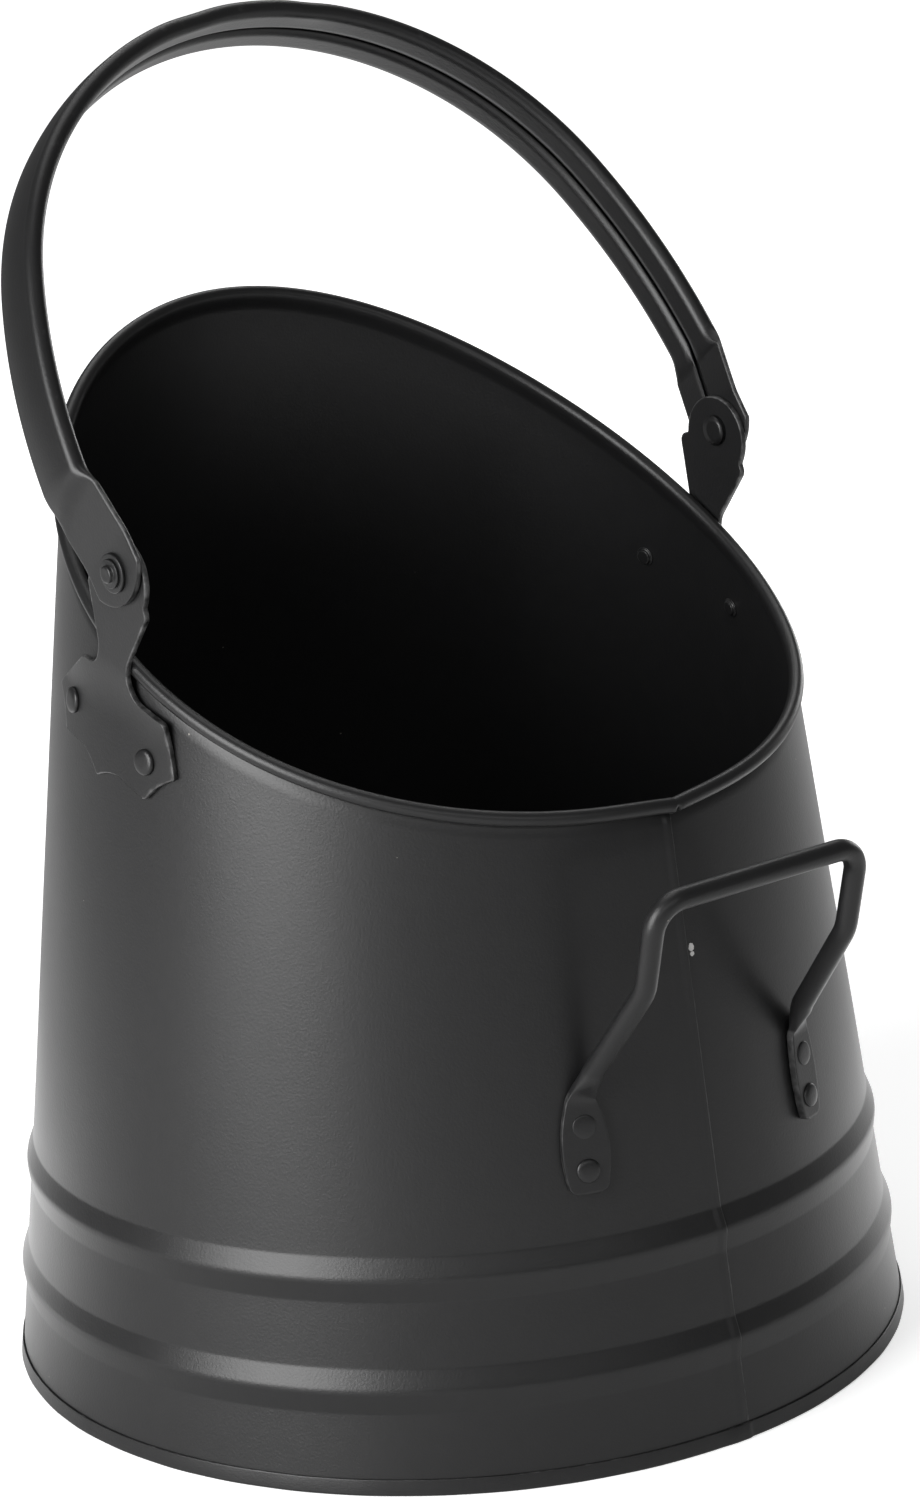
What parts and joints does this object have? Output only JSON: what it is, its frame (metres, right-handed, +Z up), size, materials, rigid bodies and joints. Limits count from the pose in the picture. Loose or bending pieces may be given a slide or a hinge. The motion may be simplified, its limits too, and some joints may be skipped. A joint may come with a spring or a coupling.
{
  "type": "ash bucket",
  "caption": "Tapered sheet-metal ash bucket with a slanted wired rim that rises to a tall lip, swaged beads, a swinging bail on riveted scalloped ears, and a fixed rod handle for tipping.",
  "frame": {"origin": "middle of the base circle, on the plane the bucket stands on", "axes": "+Z up; +Y towards the high lip; -Y towards the low side with the seam and the tipping handle; the bail turns about an axis along X; left is -X and right is +X, front is -Y and rear is +Y"},
  "size_m": [0.3198, 0.3401, 0.4683],
  "materials": {
    "body_coat": "satin black powder coat on sheet steel",
    "rim_steel": "steel wire inside the rolled rim",
    "ear_coat": "satin black powder coat on stamped steel",
    "rivet_coat": "satin black powder coat on steel rivets",
    "bail_coat": "satin black powder coat on rolled steel strip",
    "handle_coat": "satin black powder coat on steel rod"
  },
  "bodies": {
    "bucket": {"body_wall": "body_coat", "rim_wire": "rim_steel", "bottom_pan": "body_coat", "ear_right": "ear_coat", "ear_left": "ear_coat", "ear_rivet_right_front": "rivet_coat", "ear_rivet_left_front": "rivet_coat", "ear_rivet_right_rear": "rivet_coat", "ear_rivet_left_rear": "rivet_coat", "pivot_rivet_right": "rivet_coat", "pivot_rivet_left": "rivet_coat", "pivot_washer_right": "rivet_coat", "pivot_washer_left": "rivet_coat", "tipping_handle": "handle_coat", "handle_rivet_right_lower": "rivet_coat", "handle_rivet_right_upper": "rivet_coat", "handle_rivet_left_lower": "rivet_coat", "handle_rivet_left_upper": "rivet_coat"},
    "bail": {"bail": "bail_coat"}
  },
  "joints": [
    {"name": "bail_swing", "type": "hinge", "parent": "bucket", "child": "bail", "pos_m": [0, -0.013, 0.3055], "axis": [1, 0, 0], "range_deg": [-88, 152]}
  ]
}
